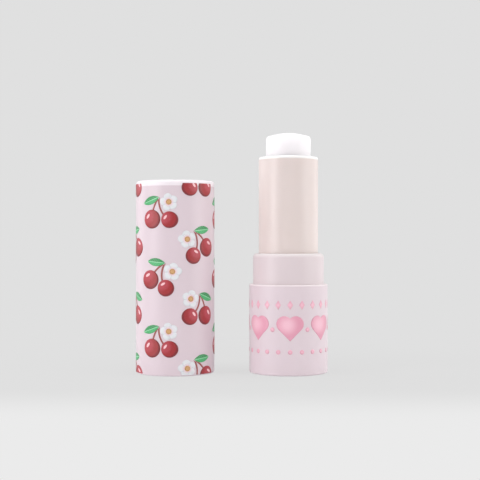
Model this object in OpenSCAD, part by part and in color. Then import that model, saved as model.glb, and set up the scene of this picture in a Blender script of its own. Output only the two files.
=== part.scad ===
// Twist-up lip balm stick with its cap taken off and stood beside it.
// Millimetres, +Z up. The origin is the centre of the base's underside, on the stick's axis.
// The radial sizes grow outwards from the balm, so every fit follows the piece inside it.

/* [Balm] */
// Diameter of the cast balm
balm_d = 12.1; // [11:0.1:13]
// Length of the cast balm, from the floor of its cup to its tip
balm_len = 34; // [31:0.5:34.5]
// Height of the tip above the tube, as the balm is wound out here
balm_show = 6.6; // [5:0.1:9]
// Rounding of the balm's shoulder
balm_edge = 1; // [0.6:0.1:1.6]
// Rise of the domed tip inside that shoulder
balm_dome = 0.8; // [0.3:0.1:1]

/* [Cup] */
// Wall of the cup that grips the balm
cup_wall = 0.45; // [0.4:0.05:0.6]
// Height of the cup, with its floor
cup_h = 9.8; // [8:0.1:11]
// Thickness of the cup's floor
cup_floor = 0.8; // [0.6:0.1:1.2]
// Diameter of the two lugs that drive the cup
lug_d = 1.8; // [1.4:0.1:2]
// Height of the lugs' axis above the underside of the cup
lug_up = 1.3; // [1.1:0.1:2]
// Number of ribs that hold the balm in its cup
cup_ribs = 6; // [4:1:8]
// How far those ribs stand into the balm
cup_rib_d = 0.35; // [0.2:0.05:0.6]
// Height of those ribs above the cup's floor
cup_rib_h = 6; // [3:0.5:7]

/* [Twist mechanism] */
// Wall of the slotted guide sleeve
guide_wall = 0.5; // [0.45:0.05:0.7]
// Wall of the spiral sleeve
spiral_wall = 0.45; // [0.4:0.05:0.7]
// Rise of the balm for one full turn
pitch = 16; // [14:0.5:20]
// Thickness of the two flanges that hold the guide's foot in the collar
flange_t = 1.2; // [0.8:0.1:1.6]
// Number of ribs between the foot's flanges
foot_ribs = 10; // [6:1:14]
// Height of the neck that carries the drag ring
neck_h = 2.5; // [1.8:0.1:4]
// Height of wall left between the ends of the slots and the neck
slot_land = 1.1; // [0.6:0.1:2]
// Thickness of the drag ring's round section
ring_t = 0.6; // [0.4:0.05:0.7]
// How far the cup's rim stops below the tube's mouth when wound right out
rim_below = 0.5; // [0.2:0.1:1.5]
// How far the tip stops below the tube's mouth when wound right in
tip_below = 1; // [0.5:0.1:1.4]

/* [Tube] */
// Wall of the outer tube
tube_wall = 0.44; // [0.4:0.02:0.7]
// Height of the tube that shows above the collar
tube_show = 26; // [25:0.1:32]
// Thickness of the lip at the tube's mouth
lip_t = 0.6; // [0.4:0.1:1]
// Rounding of the tube's mouth
tube_edge = 0.4; // [0.2:0.05:0.4]

/* [Collar] */
// Room between the tube and the collar's wall
collar_room = 0.53; // [0.4:0.01:1]
// Wall of the collar
collar_wall = 1; // [0.8:0.05:1.6]
// Height of the collar that shows above the base
collar_show = 8.3; // [7:0.1:11]
// Thickness of the collar's top
collar_top = 1.2; // [1:0.1:2]
// Rounding of the collar's shoulder
collar_edge = 1.1; // [0.5:0.1:1.5]
// How much slimmer the collar is where it is hidden in the base
tail_ease = 0.35; // [0.3:0.05:0.5]
// Number of ribs on that slim part, which wedge in the base
crush_ribs = 12; // [6:1:18]

/* [Base] */
// Wall of the base
base_wall = 1; // [0.8:0.05:1.6]
// Height of the base up to its rim
base_h = 23.9; // [23:0.1:30]
// Thickness of the base's floor
base_floor = 1.4; // [1:0.1:1.8]
// Height of the ribs on the floor, which carry the mechanism
rib_h = 6.6; // [5:0.1:7]
// Number of those ribs
base_ribs = 8; // [4:1:12]
// Thickness of those ribs
base_rib_t = 1; // [0.6:0.1:1.6]
// Rounding of the base's bottom edge
foot_edge = 0.4; // [0.2:0.1:0.8]
// Rounding of the rims of the base and the cap
rim_edge = 0.3; // [0.1:0.05:0.4]

/* [Cap] */
// Height of the cap
cap_h = 51.7; // [44:0.1:60]
// Thickness of the cap's top
cap_top = 1.2; // [0.8:0.1:2]
// Rounding of the cap's top edge
cap_edge = 0.9; // [0.5:0.1:1.8]
// Number of ribs inside the cap's mouth that grip the collar
grip_ribs = 8; // [3:1:12]
// Width of the small grip and wedge ribs
small_rib_t = 0.5; // [0.3:0.1:0.8]
// Space between the cap and the base, as they stand
stand_gap = 9.5; // [3:0.1:40]

/* [Print] */
// Thickness of the printed ink
ink_t = 0.04; // [0.03:0.01:0.08]
// Number of columns of printed motifs round the cap
print_cols = 6; // [4:2:6]
// Height from one motif to the next in a column
print_step = 17; // [14:0.5:24]
// Height of the lowest whole motif
print_z = 9; // [7:0.1:12]
// Tilt of the motifs, to one side and the other in turn
print_tilt = 12; // [0:1:20]
// Diameter of the larger printed cherry
cherry_d = 5; // [4:0.1:5.4]
// Diameter of the smaller printed cherry
cherry_small_d = 4.4; // [3.4:0.1:4.6]
// Width of the printed stems
stem_w = 0.45; // [0.3:0.05:0.7]
// Length of the printed leaf
leaf_len = 5.2; // [4:0.1:5.6]
// Width of the printed leaf
leaf_w = 2.1; // [1.4:0.1:2.6]
// Diameter of each petal of the printed blossom
petal_d = 2.1; // [1.8:0.1:2.3]
// Diameter of the blossom's centre
pistil_d = 1.5; // [1:0.1:1.8]
// Width of the hearts printed round the base
heart_w = 7.2; // [5:0.1:7.6]
// Number of those hearts
hearts = 7; // [4:1:7]
// Height of the middle of the row of hearts
heart_z = 12.2; // [10:0.1:13]
// Width of the lozenges printed above the hearts
lozenge_w = 1.5; // [0.8:0.1:1.8]
// Height of those lozenges
lozenge_h = 2.4; // [1.2:0.1:2.8]
// Diameter of the beads printed below the hearts and between them
bead_d = 1.2; // [0.8:0.1:1.4]
// Number of lozenges, and of the beads below
trims = 21; // [12:1:24]
// Space from the hearts to the middle of the lozenges and of the beads
trim_gap = 2.9; // [2:0.1:3.5]

/* [Fits] */
// Radial gap of the pieces that turn or slide in each other
run_gap = 0.07; // [0.05:0.01:0.1]
// Gap lengthways of the pieces that turn in each other
end_gap = 0.1; // [0.05:0.01:0.2]
// Radial gap of the pieces that are pressed together
press_gap = 0.02; // [0:0.01:0.04]
// Radial gap round the tube where it leaves the collar
tube_gap = 0.15; // [0.1:0.01:0.3]
// Radial gap of the cup in the tube's lip
lip_gap = 0.15; // [0.1:0.01:0.3]
// Gap on each side of a lug in its slots
lug_gap = 0.12; // [0.08:0.01:0.2]
// Radial gap of the cap on the collar, which the grip ribs close
cap_gap = 0.1; // [0.05:0.01:0.2]

/* [Hidden] */
$fn = 96;
over = 1;          // how far a cutter runs past the face that it opens
bite = 0.2;        // how far a rib is rooted in the wall that carries it, or stops short of its edge
helix_step = 5;    // degrees of turn for each facet of the spiral slot
ink_reach = 2.5;   // how far a printed outline is pushed inwards, to cut all of the curved ink layer
print_turn = -110; // angle of the print's first column, a little left of the front

// Radii, from the balm outwards
balm_r = balm_d / 2;
cup_ir = balm_r + press_gap;
cup_r = cup_ir + cup_wall;
guide_ir = cup_r + run_gap;
guide_r = guide_ir + guide_wall;
spiral_ir = guide_r + run_gap;
spiral_r = spiral_ir + spiral_wall;
tube_ir = spiral_r + press_gap;
tube_r = tube_ir + tube_wall;
sleeve_ir = tube_r + collar_room;
collar_r = sleeve_ir + collar_wall;
tail_r = collar_r - tail_ease;
hole_r = tube_r + tube_gap;
bore_r = collar_r + press_gap;
case_r = bore_r + base_wall;
cap_ir = collar_r + cap_gap;
neck_r = tube_ir - 2 * end_gap;
groove_r = tube_ir - ring_t - end_gap / 2;
bead_r = spiral_ir + spiral_wall / 2;
lug_tip = spiral_r - run_gap;
slot_w = lug_d + 2 * lug_gap;

// Heights, from the base's underside upwards
foot_z = base_floor + rib_h;
collar_z = base_h + collar_show;
mouth_z = collar_z + tube_show;
tip_z = mouth_z + balm_show;
guide_top = mouth_z - lip_t - end_gap;
bead_h = 0.5;
spiral_top = guide_top - bead_h - end_gap;
cup_z = tip_z - balm_len - cup_floor;
lug_z = cup_z + lug_up;
wind_in = balm_show + tip_below;
wind_out = mouth_z - rim_below - cup_z - cup_h;
neck_z = lug_z - wind_in - slot_w / 2 - slot_land;
seat_z = neck_z - neck_h;
ring_z = seat_z + neck_h / 2;
cap_x = -2 * case_r - stand_gap;

// The printed motif, about its middle: where the stems meet, and the middles of its fruit and its blossom
twig = [0.8, 4];
cherry_at = [-2.5, -1.2];
cherry_small_at = [2.3, -2.4];
blossom_at = [3.1, 2.2];
leaf_turn = 187;
petals = 5;

// Heights of the base's print. A heart is a square on its corner with a circle on each upper side
heart_side = heart_w / (1 + sqrt(0.5));
lozenge_z = heart_z + heart_side * (0.5 + sqrt(0.125)) + trim_gap;
bead_z = heart_z - heart_side * sqrt(0.5) - trim_gap;

// The corner that a rounding of radius e takes off, for a corner that points to +X and +Y
module corner(e) {
    translate([-e, -e])
        difference() {
            square(e + over);
            circle(e);
        }
}

// Ribs that stand out from the axis like spokes, from radius r0 to r1
module spokes(count, r0, r1, thick, z0, z1) {
    for (i = [0 : count - 1])
        rotate(360 * (i + 0.5) / count)
            translate([r0, -thick / 2, z0])
                cube([r1 - r0, thick, z1 - z0]);
}

// A straight slot with round ends through a wall at +X, as wide as a lug with its gap
module lug_slot(z0, z1) {
    for (z = [z0, z1])
        translate([0, 0, z])
            rotate([0, 90, 0])
                cylinder(d = slot_w, h = guide_r + over);
    translate([0, -slot_w / 2, z0])
        cube([guide_r + over, slot_w, z1 - z0]);
}

// Cup-shaped housing with a flat underside and spokes inside that carry the mechanism
module base_shell() {
    color([0.93, 0.85, 0.88]) {
        rotate_extrude()
            difference() {
                square([case_r, base_h]);
                translate([0, base_floor])
                    square([bore_r, base_h]);
                translate([case_r, base_h])
                    corner(rim_edge);
                translate([case_r, 0])
                    mirror([0, 1])
                        corner(foot_edge);
            }
        spokes(base_ribs, guide_ir, bore_r + bite, base_rib_t, base_floor - bite, foot_z);
    }
}

// Sleeve pressed into the base. Its top closes round the tube, and the cap is pushed over it
module collar() {
    color([0.93, 0.86, 0.88]) {
        rotate_extrude()
            difference() {
                translate([hole_r, foot_z])
                    square([collar_r - hole_r, collar_z - foot_z]);
                translate([0, foot_z - over])
                    square([sleeve_ir, collar_z - collar_top - foot_z + over]);
                translate([tail_r, foot_z - over])
                    square([tail_ease + over, base_h - foot_z + over]);
                translate([collar_r, collar_z])
                    corner(collar_edge);
                translate([hole_r, collar_z])
                    mirror([1, 0])
                        corner(rim_edge);
            }
        spokes(crush_ribs, tail_r - bite, collar_r, small_rib_t, seat_z, base_h - rim_edge);
    }
}

// Fixed inner sleeve: its foot is pressed into the collar, and its two slots keep the cup from turning
module guide_sleeve() {
    flange_r = sleeve_ir - press_gap;
    groove_w = ring_t + end_gap;
    color([0.96, 0.95, 0.93])
        difference() {
            union() {
                rotate_extrude()
                    difference() {
                        union() {
                            translate([guide_ir, foot_z])
                                square([guide_wall, guide_top - foot_z]);
                            translate([guide_ir, foot_z])
                                square([neck_r - guide_ir, neck_z - foot_z]);
                            for (z = [foot_z, seat_z - flange_t])
                                translate([guide_ir, z])
                                    square([flange_r - guide_ir, flange_t]);
                            translate([guide_ir, guide_top - bead_h])
                                square([bead_r - guide_ir, bead_h]);
                        }
                        translate([groove_r, ring_z - groove_w / 2])
                            square([over, groove_w]);
                    }
                spokes(foot_ribs, neck_r - bite, flange_r - bite, flange_t,
                       foot_z + flange_t - bite, seat_z - flange_t + bite);
            }
            for (a = [0, 180])
                rotate(a)
                    lug_slot(lug_z - wind_in, lug_z + wind_out);
        }
}

// Soft ring on the guide's neck that rubs in the tube and keeps the balm from winding back
module drag_ring() {
    color([0.25, 0.25, 0.26])
        translate([0, 0, ring_z])
            rotate_extrude()
                translate([groove_r + ring_t / 2, 0])
                    circle(d = ring_t, $fn = 32);
}

// The pale tube that shows above the collar. Its lip closes over the spiral and the guide
module outer_tube() {
    color([0.93, 0.88, 0.85])
        rotate_extrude()
            difference() {
                translate([cup_r + lip_gap, seat_z + end_gap])
                    square([tube_r - cup_r - lip_gap, mouth_z - seat_z - end_gap]);
                translate([0, seat_z])
                    square([tube_ir, mouth_z - lip_t - seat_z]);
                translate([tube_r, mouth_z])
                    corner(tube_edge);
            }
}

// Corners of the slot cutter's section at turn a: square to the helix, from inside the wall to outside it
function slot_section(a) =
    let (lead = atan(pitch / (2 * PI * spiral_ir)),
         half = slot_w / 2,
         out = [cos(a), sin(a)],
         along = [-sin(a), cos(a)],
         z = lug_z + pitch * a / 360)
    [for (side = [[-1, spiral_ir - over / 2], [-1, spiral_r + over / 2],
                  [1, spiral_r + over / 2], [1, spiral_ir - over / 2]])
        let (s = side[0] * half, p = side[1] * out - s * sin(lead) * along)
        [p[0], p[1], z + s * cos(lead)]];

// One helical slot, swept past a lug's whole travel, with round ends
module helical_slot() {
    a0 = -360 * wind_in / pitch;
    a1 = 360 * wind_out / pitch;
    steps = ceil((a1 - a0) / helix_step);
    points = [for (i = [0 : steps]) each slot_section(a0 + (a1 - a0) * i / steps)];
    walls = [for (i = [0 : steps - 1], k = [0 : 3])
        let (a = 4 * i + k, b = 4 * i + (k + 1) % 4)
        each [[a, b, a + 4], [b, b + 4, a + 4]]];
    ends = [[3, 2, 1, 0], [for (k = [0 : 3]) 4 * steps + k]];
    polyhedron(points, concat(ends, walls));
    for (a = [a0, a1])
        rotate(a)
            translate([spiral_ir - over / 2, 0, lug_z + pitch * a / 360])
                rotate([0, 90, 0])
                    cylinder(d = slot_w, h = spiral_wall + over);
}

// Sleeve fixed in the tube, with the two helical slots that push the lugs up and down
module spiral_sleeve() {
    color([0.97, 0.96, 0.93])
        difference() {
            rotate_extrude()
                translate([spiral_ir, neck_z + end_gap])
                    square([spiral_wall, spiral_top - neck_z - end_gap]);
            for (a = [0, 180])
                rotate(a)
                    helical_slot();
        }
}

// Ribs inside the cup that bite into the balm. The balm's grooves are the same ribs with spare outwards and down
module cup_grip(spare) {
    z0 = cup_z + cup_floor;
    spokes(cup_ribs, balm_r - cup_rib_d, cup_ir + bite + spare, small_rib_t, z0 - spare, z0 + cup_rib_h);
}

// Cup that carries the balm, with a lug on each side
module bullet_cup() {
    color([0.97, 0.96, 0.94]) {
        rotate_extrude()
            translate([0, cup_z])
                difference() {
                    square([cup_r, cup_h]);
                    translate([0, cup_floor])
                        square([cup_ir, cup_h]);
                }
        cup_grip(0);
        for (a = [0, 180])
            rotate(a)
                translate([cup_ir, 0, lug_z])
                    rotate([0, 90, 0])
                        cylinder(d = lug_d, h = lug_tip - cup_ir);
    }
}

// Cast balm with a rounded shoulder and a shallow domed tip
module balm() {
    flat_r = balm_r - balm_edge;
    dome_r = (flat_r * flat_r + balm_dome * balm_dome) / (2 * balm_dome);
    color([0.99, 0.98, 0.98])
        difference() {
            rotate_extrude()
                difference() {
                    translate([0, cup_z + cup_floor])
                        square([balm_r, balm_len]);
                    translate([balm_r, tip_z - balm_dome])
                        corner(balm_edge);
                    difference() {
                        translate([0, tip_z - balm_dome])
                            square([balm_r + over, balm_dome + over]);
                        translate([0, tip_z - dome_r])
                            circle(dome_r);
                    }
                }
            cup_grip(over);
        }
}

// Closed sleeve that pushes over the collar and stands flush with the base
module cap() {
    color([0.94, 0.87, 0.90])
        translate([cap_x, 0, 0]) {
            rotate_extrude()
                difference() {
                    square([case_r, cap_h]);
                    translate([0, -over])
                        square([cap_ir, cap_h - cap_top + over]);
                    translate([case_r, cap_h])
                        corner(cap_edge);
                    translate([case_r, 0])
                        mirror([0, 1])
                            corner(rim_edge);
                    translate([cap_ir, 0])
                        mirror([1, 1])
                            corner(rim_edge);
                }
            spokes(grip_ribs, collar_r, cap_ir + bite, small_rib_t, 2 * rim_edge, collar_show - collar_edge);
        }
}

// Thin layer of ink on a round wall of radius r, from height z0 to z1, kept only inside the children
module ink_layer(r, z0, z1) {
    intersection() {
        rotate_extrude()
            translate([r, z0])
                square([ink_t, z1 - z0]);
        children();
    }
}

// Pushes a flat outline through a round wall of radius r, at angle a and height z
module through_wall(r, a, z) {
    rotate([0, 0, a])
        translate([r - ink_reach, 0, z])
            rotate([90, 0, 90])
                linear_extrude(ink_reach + over)
                    children();
}

// Repeats an outline evenly round a wall of radius r, with the first one at angle a0
module round_wall(count, r, a0, z) {
    for (i = [0 : count - 1])
        through_wall(r, a0 + 360 * i / count, z)
            children();
}

// A leaf outline from the origin along +X: the overlap of two circles
module leaf(len, width) {
    r = (len * len + width * width) / (4 * width);
    translate([len / 2, 0])
        intersection_for (side = [-1, 1])
            translate([0, side * (r - width / 2)])
                circle(r);
}

// A stem outline: an arc from a to b that bows to the left by sag, cut from a ring by a wedge
module stem(a, b, sag) {
    half = norm(b - a) / 2;
    r = (half * half + sag * sag) / (2 * sag);
    left = [a[1] - b[1], b[0] - a[0]] / (2 * half);
    hub = (a + b) / 2 - left * (r - sag);
    wedge = 1.3;
    intersection() {
        difference() {
            translate(hub)
                circle(r + stem_w / 2);
            translate(hub)
                circle(r - stem_w / 2);
        }
        polygon([hub, hub + wedge * (a - hub), hub + wedge * (b - hub)]);
    }
}

// A heart outline: a square on its corner, with a circle on each of its upper sides
module heart(side) {
    rotate(45)
        square(side, center = true);
    for (turn = [45, 135])
        rotate(turn)
            translate([side / 2, 0])
                circle(d = side);
}

module cherries_outline() {
    translate(cherry_at)
        circle(d = cherry_d);
    translate(cherry_small_at)
        circle(d = cherry_small_d);
}

module petals_outline() {
    translate(blossom_at)
        for (i = [0 : petals - 1])
            rotate(90 + 360 * i / petals)
                translate([0.6 * petal_d, 0])
                    circle(d = petal_d);
}

module greens_outline() {
    difference() {
        union() {
            translate(twig)
                rotate(leaf_turn)
                    leaf(leaf_len, leaf_w);
            stem(cherry_at, twig, 0.5);
            stem(cherry_small_at, twig, 1);
        }
        cherries_outline();
        petals_outline();
    }
}

// The cap's all-over print: columns of one motif, every other column mirrored and half a step higher
module cap_print() {
    translate([cap_x, 0, 0])
        for (i = [0 : print_cols - 1], row = [-1 : floor(cap_h / print_step)])
            ink_layer(case_r, rim_edge, cap_h - cap_edge)
                through_wall(case_r, print_turn + 360 * i / print_cols, print_z + print_step * (row + (i % 2) / 2))
                    mirror([i % 2, 0])
                        rotate(print_tilt * (row % 2 == 0 ? 1 : -1))
                            children();
}

module cap_print_cherries() {
    color([0.74, 0.13, 0.19])
        cap_print()
            cherries_outline();
}

module cap_print_greens() {
    color([0.15, 0.62, 0.33])
        cap_print()
            greens_outline();
}

module cap_print_petals() {
    color([0.93, 0.94, 0.95])
        cap_print()
            difference() {
                petals_outline();
                translate(blossom_at)
                    circle(d = pistil_d);
            }
}

module cap_print_pistils() {
    color([0.78, 0.63, 0.44])
        cap_print()
            translate(blossom_at)
                circle(d = pistil_d);
}

// The ornament round the base: a row of hearts
module base_print_hearts() {
    color([0.93, 0.71, 0.79])
        ink_layer(case_r, foot_edge, base_h - rim_edge)
            round_wall(hearts, case_r, -90, heart_z)
                heart(heart_side);
}

// Lozenges above the hearts, and beads between and below them
module base_print_trims() {
    color([0.90, 0.69, 0.76])
        ink_layer(case_r, foot_edge, base_h - rim_edge) {
            round_wall(trims, case_r, -90, lozenge_z)
                polygon([[-lozenge_w / 2, 0], [0, -lozenge_h / 2], [lozenge_w / 2, 0], [0, lozenge_h / 2]]);
            round_wall(hearts, case_r, -90 + 180 / hearts, heart_z)
                circle(d = bead_d);
            round_wall(trims, case_r, -90, bead_z)
                circle(d = bead_d);
        }
}

base_shell();
collar();
guide_sleeve();
drag_ring();
outer_tube();
spiral_sleeve();
bullet_cup();
balm();
cap();
cap_print_cherries();
cap_print_greens();
cap_print_petals();
cap_print_pistils();
base_print_hearts();
base_print_trims();
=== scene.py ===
"""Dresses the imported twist-up lip balm stick and the printed cap that stands beside it.

The solids carry the shapes and sizes. This script gives each its finish, prints the cap and the base with
finer ink than a solid holds, and sets a pale studio round them. Lengths in the classes are millimetres.
"""

import logging
import math
from dataclasses import dataclass, field
from enum import Enum
from typing import Any

import bmesh
import bpy
from mathutils import Matrix, Vector
from mathutils.geometry import delaunay_2d_cdt


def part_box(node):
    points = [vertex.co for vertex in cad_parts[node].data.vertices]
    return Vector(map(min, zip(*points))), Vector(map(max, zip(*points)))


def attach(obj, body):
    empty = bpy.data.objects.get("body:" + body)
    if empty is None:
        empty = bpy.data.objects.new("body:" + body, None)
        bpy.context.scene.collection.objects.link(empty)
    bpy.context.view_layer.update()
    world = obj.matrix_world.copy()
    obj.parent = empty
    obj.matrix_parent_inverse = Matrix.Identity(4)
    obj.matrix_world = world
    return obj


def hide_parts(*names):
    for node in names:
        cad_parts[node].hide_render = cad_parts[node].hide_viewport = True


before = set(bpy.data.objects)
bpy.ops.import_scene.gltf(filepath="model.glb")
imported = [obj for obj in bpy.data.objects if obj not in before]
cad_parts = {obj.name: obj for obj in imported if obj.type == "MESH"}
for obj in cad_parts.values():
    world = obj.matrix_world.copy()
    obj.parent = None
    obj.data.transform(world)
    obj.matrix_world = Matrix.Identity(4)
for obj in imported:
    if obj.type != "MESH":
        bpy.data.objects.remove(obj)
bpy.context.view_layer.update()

MM = 0.001
SHADE = "shade"
log = logging.getLogger("lip_balm_stick")


def linear(colour: str, level: float = 1.0) -> tuple[float, float, float, float]:
    """Turns an sRGB hex colour into a linear one.

    Args:
        colour: such as "#E8D6DA".
        level: what the linear colour is multiplied by.

    Returns:
        Linear red, green, blue and an alpha of 1.
    """
    parts = [int(colour[i:i + 2], 16) / 255 for i in (1, 3, 5)]
    light = [c / 12.92 if c <= 0.04045 else ((c + 0.055) / 1.055) ** 2.4 for c in parts]
    return (light[0] * level, light[1] * level, light[2] * level, 1.0)


def add(tree: bpy.types.NodeTree, kind: str, inputs: dict[str | int, Any] | None = None,
        **settings: Any) -> bpy.types.Node:
    """Adds one node to a tree.

    Args:
        tree: the tree of a material, the world or a modifier.
        kind: the node's type.
        inputs: for each input, by name or number, a value or the output that it is linked to.
        **settings: the node's own properties.

    Returns:
        The new node.
    """
    node = tree.nodes.new(kind)
    for name, value in settings.items():
        setattr(node, name, value)
    for name, value in (inputs or {}).items():
        if isinstance(value, bpy.types.NodeSocket):
            tree.links.new(value, node.inputs[name])
        else:
            node.inputs[name].default_value = value
    return node


def calc(tree: bpy.types.NodeTree, operation: str, *values: Any) -> bpy.types.NodeSocket:
    """Adds a Math node for the operation on the values, and returns its result."""
    return add(tree, "ShaderNodeMath", dict(enumerate(values)), operation=operation).outputs[0]


@dataclass(frozen=True)
class Finish:
    """What every finish has: a name, the colour of its middle tone, and how it scatters light."""

    name: str
    colour: str
    roughness: float
    handling: float = 0.05
    handling_grain: float = 7.0

    def paint(self, tree: bpy.types.NodeTree) -> bpy.types.NodeSocket:
        """Gives the colour over the surface.

        Args:
            tree: the material's node tree.

        Returns:
            The socket that holds the colour.
        """
        raise NotImplementedError

    def relief(self, tree: bpy.types.NodeTree) -> bpy.types.NodeSocket:
        """Gives the bumped normal over the surface.

        Args:
            tree: the material's node tree.

        Returns:
            The socket that holds the normal.
        """
        raise NotImplementedError

    def gloss(self, tree: bpy.types.NodeTree) -> bpy.types.NodeSocket:
        """Gives the roughness, which handling has evened out in some places and dulled in others."""
        return calc(tree, "MULTIPLY_ADD", noise(tree, self.handling_grain, 4.0), 2 * self.handling,
                    self.roughness - self.handling)

    def constants(self) -> dict[str, Any]:
        """Gives the shader's inputs that are the same all over the surface."""
        return {}

    def build(self) -> bpy.types.Material:
        """Makes the material.

        Returns:
            The material, ready for a slot.
        """
        material = bpy.data.materials.new(self.name)
        material.use_nodes = True
        tree = material.node_tree
        tree.nodes.clear()
        shader = add(tree, "ShaderNodeBsdfPrincipled", {
            "Base Color": self.paint(tree), "Roughness": self.gloss(tree),
            "Normal": self.relief(tree), **self.constants()})
        add(tree, "ShaderNodeOutputMaterial", {"Surface": shader.outputs[0]})
        return material


def noise(tree: bpy.types.NodeTree, grain: float, detail: float = 2.0) -> bpy.types.NodeSocket:
    """Adds noise on the object's own coordinates.

    Args:
        tree: the material's node tree.
        grain: the size of its grains in millimetres.
        detail: how many finer layers it has.

    Returns:
        The noise, from 0 to 1.
    """
    place = add(tree, "ShaderNodeTexCoord").outputs["Object"]
    inputs = {"Vector": place, "Scale": 1 / (grain * MM), "Detail": detail}
    return add(tree, "ShaderNodeTexNoise", inputs).outputs[0]


def bumped(tree: bpy.types.NodeTree, height: bpy.types.NodeSocket, depth: float,
           under: bpy.types.NodeSocket | None = None) -> bpy.types.NodeSocket:
    """Turns a height into a normal.

    Args:
        tree: the material's node tree.
        height: the height, from 0 to 1.
        depth: what 1 stands for, in millimetres.
        under: the normal of a coarser relief below this one.

    Returns:
        The normal.
    """
    inputs = {"Height": height, "Distance": depth * MM, "Strength": 1.0}
    if under is not None:
        inputs["Normal"] = under
    return add(tree, "ShaderNodeBump", inputs).outputs[0]


def blended(tree: bpy.types.NodeTree, share: Any, first: Any, second: Any) -> bpy.types.NodeSocket:
    """Mixes two colours.

    Args:
        tree: the material's node tree.
        share: how much of the second colour shows, from 0 to 1.
        first: an sRGB hex colour, or the socket that holds a colour.
        second: the same for the other colour.

    Returns:
        The mixed colour.
    """
    colours = [linear(c) if isinstance(c, str) else c for c in (first, second)]
    return add(tree, "ShaderNodeMix", {0: share, 6: colours[0], 7: colours[1]}, data_type="RGBA").outputs[2]


def ramp(tree: bpy.types.NodeTree, value: bpy.types.NodeSocket, start: float, end: float, low: float = 0.0,
         high: float = 1.0, kind: str = "SMOOTHSTEP") -> bpy.types.NodeSocket:
    """Fades from one number to another.

    Args:
        tree: the material's node tree.
        value: what the fade follows.
        start: the value where it begins.
        end: the value where it ends.
        low: the number before it.
        high: the number after it.
        kind: "SMOOTHSTEP" for an eased fade, "LINEAR" for an even one.

    Returns:
        The number.
    """
    inputs = {"Value": value, "From Min": start, "From Max": end, "To Min": low, "To Max": high}
    return add(tree, "ShaderNodeMapRange", inputs, interpolation_type=kind).outputs[0]


@dataclass(frozen=True)
class PaintedRimHighlight:
    """A painted highlight: a pale band painted below a piece's upper edge, where its rounded edge would
    catch light from above.
    """

    level: float
    colour: str
    soft: float = 0.3

    def paint(self, tree: bpy.types.NodeTree, below: bpy.types.NodeSocket) -> bpy.types.NodeSocket:
        """Mixes the painted highlight band with what is below it.

        Args:
            tree: the material's node tree.
            below: the colour below the band.

        Returns:
            The colour with the band on it.
        """
        place = add(tree, "ShaderNodeTexCoord").outputs["Object"]
        height = add(tree, "ShaderNodeSeparateXYZ", {0: place}).outputs[2]
        share = ramp(tree, height, (self.level - self.soft / 2) * MM, (self.level + self.soft / 2) * MM)
        return blended(tree, share, below, self.colour)


@dataclass(frozen=True)
class MouldedPlastic(Finish):
    """Pigmented ABS from a spark-eroded mould: a fine even satin, with broad soft highlights and no gloss.

    The pigment is not mixed perfectly, which gives the eye a very faint cloudiness. The eroded skin has
    grains of about 0.05 mm, which are drawn 0.3 mm wide so that they show at all. A piece that ends in the
    open has a painted highlight, a pale band below its upper edge; the sleeves inside have none.
    """

    cloud: str = "#FFFFFF"
    cloud_grain: float = 14.0
    skin_grain: float = 0.3
    skin_depth: float = 0.004
    glow: float = 0.1
    velvet: float = 0.12
    # rim: a painted highlight band below the upper edge, standing in for the light that a rounded edge
    # catches.
    rim: PaintedRimHighlight | None = None

    def paint(self, tree: bpy.types.NodeTree) -> bpy.types.NodeSocket:
        """Mixes the pigment with its paler clouds, and adds the painted rim highlight."""
        clouded = blended(tree, noise(tree, self.cloud_grain), self.colour, self.cloud)
        return self.rim.paint(tree, clouded) if self.rim else clouded

    def relief(self, tree: bpy.types.NodeTree) -> bpy.types.NodeSocket:
        """Gives the eroded skin."""
        return bumped(tree, noise(tree, self.skin_grain, 3.0), self.skin_depth)

    def constants(self) -> dict[str, Any]:
        """Lets a little light into the plastic, and whitens it at grazing angles as its eroded skin does."""
        return {"Subsurface Weight": self.glow, "Subsurface Radius": (1.0, 0.9, 0.9),
                "Subsurface Scale": 0.8 * MM, "Sheen Weight": self.velvet, "Sheen Roughness": 0.4}


@dataclass(frozen=True)
class MilkyPlastic(MouldedPlastic):
    """Unpigmented polypropylene: ivory and cloudy, as light goes a little way in and comes back out."""

    glow: float = 0.45
    skin_depth: float = 0.002

    def constants(self) -> dict[str, Any]:
        """Lets light deep into the plastic."""
        return {**super().constants(), "Subsurface Radius": (1.0, 0.92, 0.88),
                "Subsurface Scale": 1.6 * MM}


@dataclass(frozen=True)
class CastWax(Finish):
    """White balm, poured hot and set: waxy, nearly white, lit from inside where it is thin, and given a
    faint painted glow.

    Its skin took the mould's polish, then sweated a little oil, so that it has a soft sheen and slow waves.
    """

    bloom: str = "#FFFFFF"
    bloom_grain: float = 5.0
    wave_grain: float = 2.4
    wave_depth: float = 0.02
    pore_grain: float = 0.35
    pore_depth: float = 0.003
    # inner is the strength of a painted glow: emission in the wax's own colour, with no lamp behind it.
    inner: float = 0.1

    def paint(self, tree: bpy.types.NodeTree) -> bpy.types.NodeSocket:
        """Mixes the wax with the faint bloom on its skin."""
        return blended(tree, noise(tree, self.bloom_grain, 3.0), self.colour, self.bloom)

    def relief(self, tree: bpy.types.NodeTree) -> bpy.types.NodeSocket:
        """Gives the slow waves of the set skin, with fine pores on them."""
        waves = bumped(tree, noise(tree, self.wave_grain, 1.0), self.wave_depth)
        return bumped(tree, noise(tree, self.pore_grain, 4.0), self.pore_depth, waves)

    def constants(self) -> dict[str, Any]:
        """Lets light deep into the wax, adds a faint painted glow in its own colour, and gives it an oily
        sheen.
        """
        return {"Subsurface Weight": 0.9, "Subsurface Radius": (1.0, 0.97, 0.97),
                "Subsurface Scale": 8.0 * MM, "IOR": 1.44, "Coat Weight": 0.05, "Coat Roughness": 0.3,
                "Emission Color": linear(self.colour), "Emission Strength": self.inner}


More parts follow.
